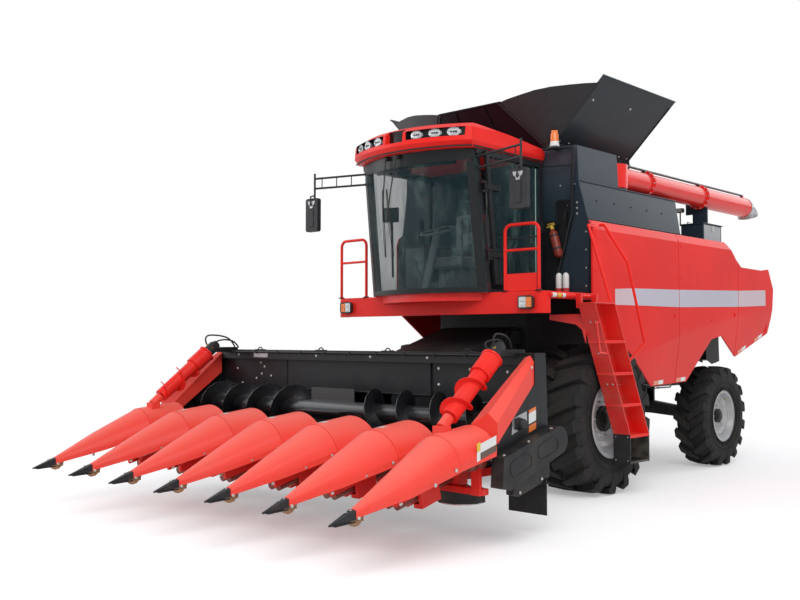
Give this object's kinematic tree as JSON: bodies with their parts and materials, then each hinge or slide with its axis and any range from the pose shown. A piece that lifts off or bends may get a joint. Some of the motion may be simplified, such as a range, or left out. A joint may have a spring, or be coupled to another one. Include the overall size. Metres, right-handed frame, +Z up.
{
  "type": "combine harvester with maize header",
  "caption": "Self-propelled combine harvester with a maize header, open grain tank flaps and folded unloading auger; its wheels, header, doors and augers move.",
  "frame": {"origin": "on the ground, under the centre of the machine's bounding box", "axes": "+X the machine's left, -Y its front where the header is, +Z up"},
  "size_m": [5.07, 10.0542, 4.8589],
  "materials": {
    "red": "gloss enamel",
    "slate": "satin enamel",
    "black": "satin enamel",
    "castings": "rough",
    "bright_steel": "bright",
    "silver": "satin enamel",
    "rubber": "matt",
    "glass": "clear, tinted",
    "plastic": "moulded",
    "cloth": "woven",
    "lens": "clear",
    "spout": "worn"
  },
  "bodies": {
    "chassis": {"auger_rest_box": "slate", "cab_controls": "plastic", "cab_frame": "black", "cab_glass": "glass", "cab_roof": "red", "chassis_frame": "black", "drive_axle": "black", "engine_block": "castings", "engine_deck": "black", "grain_tank": "slate", "handrails": "red", "ladder": "red", "lamps": "lens", "mirrors": "black", "operator_seat": "cloth", "platform": "red", "rear_axle": "black", "rear_hood": "red", "side_panel_left": "red", "side_panel_right": "red", "threshing_body": "black"},
    "drive_wheel_left": {"drive_tyre_left": "rubber", "drive_rim_left": "silver"},
    "drive_wheel_right": {"drive_tyre_right": "rubber", "drive_rim_right": "silver"},
    "knuckle_left": {"knuckle_left": "black"},
    "knuckle_right": {"knuckle_right": "black"},
    "rear_wheel_left": {"rear_tyre_left": "rubber", "rear_rim_left": "silver"},
    "rear_wheel_right": {"rear_tyre_right": "rubber", "rear_rim_right": "silver"},
    "header": {"feeder_house": "black", "header_frame": "black", "divider_snouts": "red", "divider_tips": "black", "row_hoods": "red", "end_divider_left": "red", "end_divider_right": "red", "row_frames": "red", "gathering_chains": "bright_steel", "stalk_rolls": "bright_steel", "drive_cases": "black", "stalk_choppers": "black"},
    "cross_auger": {"cross_auger": "black"},
    "end_auger_left": {"end_auger_left": "red"},
    "end_auger_right": {"end_auger_right": "red"},
    "lift_barrels": {"lift_barrels": "black"},
    "lift_rams": {"lift_rams": "bright_steel"},
    "unloading_auger": {"unloading_auger": "red", "auger_spout": "spout"},
    "cab_door": {"cab_door": "black", "door_glass": "glass"},
    "tank_flap_left": {"tank_flap_left": "slate"},
    "tank_flap_right": {"tank_flap_right": "slate"},
    "tank_flap_front": {"tank_flap_front": "slate"},
    "tank_flap_rear": {"tank_flap_rear": "slate"}
  },
  "joints": [
    {"name": "drive_wheel_left_spin", "type": "hinge", "parent": "chassis", "child": "drive_wheel_left", "pos_m": [1.24, 0.09693, 0.875], "axis": [1, 0, 0], "continuous": true},
    {"name": "drive_wheel_right_spin", "type": "hinge", "parent": "chassis", "child": "drive_wheel_right", "pos_m": [-1.24, 0.09693, 0.875], "axis": [1, 0, 0], "continuous": true},
    {"name": "steer_left", "type": "hinge", "parent": "chassis", "child": "knuckle_left", "pos_m": [0.9, 3.44693, 0.76], "axis": [0, 0, 1], "range_deg": [-28, 28]},
    {"name": "steer_right", "type": "hinge", "parent": "chassis", "child": "knuckle_right", "pos_m": [-0.9, 3.44693, 0.76], "axis": [0, 0, 1], "range_deg": [-28, 28]},
    {"name": "rear_wheel_left_spin", "type": "hinge", "parent": "knuckle_left", "child": "rear_wheel_left", "pos_m": [1.215, 3.44693, 0.708], "axis": [1, 0, 0], "continuous": true},
    {"name": "rear_wheel_right_spin", "type": "hinge", "parent": "knuckle_right", "child": "rear_wheel_right", "pos_m": [-1.215, 3.44693, 0.708], "axis": [1, 0, 0], "continuous": true},
    {"name": "header_lift", "type": "hinge", "parent": "chassis", "child": "header", "pos_m": [0, -0.46307, 1.83], "axis": [-1, 0, 0], "range_deg": [-3, 15]},
    {"name": "lift_barrel_swing", "type": "hinge", "parent": "chassis", "child": "lift_barrels", "pos_m": [0, -0.13307, 0.66], "axis": [-1, 0, 0], "range_deg": [-10, 20]},
    {"name": "lift_ram_slide", "type": "slide", "parent": "lift_barrels", "child": "lift_rams", "axis": [0, -0.985, 0.1726], "range_m": [-0.12, 0.36]},
    {"name": "cross_auger_spin", "type": "hinge", "parent": "header", "child": "cross_auger", "pos_m": [0, -2.86307, 1.06], "axis": [1, 0, 0], "continuous": true},
    {"name": "end_auger_left_spin", "type": "hinge", "parent": "header", "child": "end_auger_left", "pos_m": [2.18, -3.54307, 1.15], "axis": [-0.0258, 0.7856, 0.6182], "continuous": true},
    {"name": "end_auger_right_spin", "type": "hinge", "parent": "header", "child": "end_auger_right", "pos_m": [-2.18, -3.54307, 1.15], "axis": [0.0258, 0.7856, 0.6182], "continuous": true},
    {"name": "unloading_auger_swing", "type": "hinge", "parent": "chassis", "child": "unloading_auger", "pos_m": [1.2, 0.85693, 3.845], "axis": [0, 0, -1], "range_deg": [0, 90]},
    {"name": "cab_door_swing", "type": "hinge", "parent": "chassis", "child": "cab_door", "pos_m": [0.911, -1.35024, 3.1], "axis": [0, 0.1185, -0.993], "range_deg": [0, 55]},
    {"name": "tank_flap_left_fold", "type": "hinge", "parent": "chassis", "child": "tank_flap_left", "pos_m": [0.994, 0.09693, 4.156], "axis": [0, -1, 0], "range_deg": [0, 118]},
    {"name": "tank_flap_right_fold", "type": "hinge", "parent": "chassis", "child": "tank_flap_right", "pos_m": [-0.994, 0.09693, 4.156], "axis": [0, 1, 0], "range_deg": [0, 118]},
    {"name": "tank_flap_front_fold", "type": "hinge", "parent": "chassis", "child": "tank_flap_front", "pos_m": [0, -0.22707, 4.116], "axis": [-1, 0, 0], "range_deg": [0, 122]},
    {"name": "tank_flap_rear_fold", "type": "hinge", "parent": "chassis", "child": "tank_flap_rear", "pos_m": [0, 1.57093, 4.116], "axis": [1, 0, 0], "range_deg": [0, 122]}
  ],
  "couplings": [
    {"joint": "steer_right", "follows": "steer_left", "ratio": 1},
    {"joint": "lift_barrel_swing", "follows": "header_lift", "ratio": 0.60394},
    {"joint": "lift_ram_slide", "follows": "header_lift", "m_per_rad": 1.0587}
  ]
}
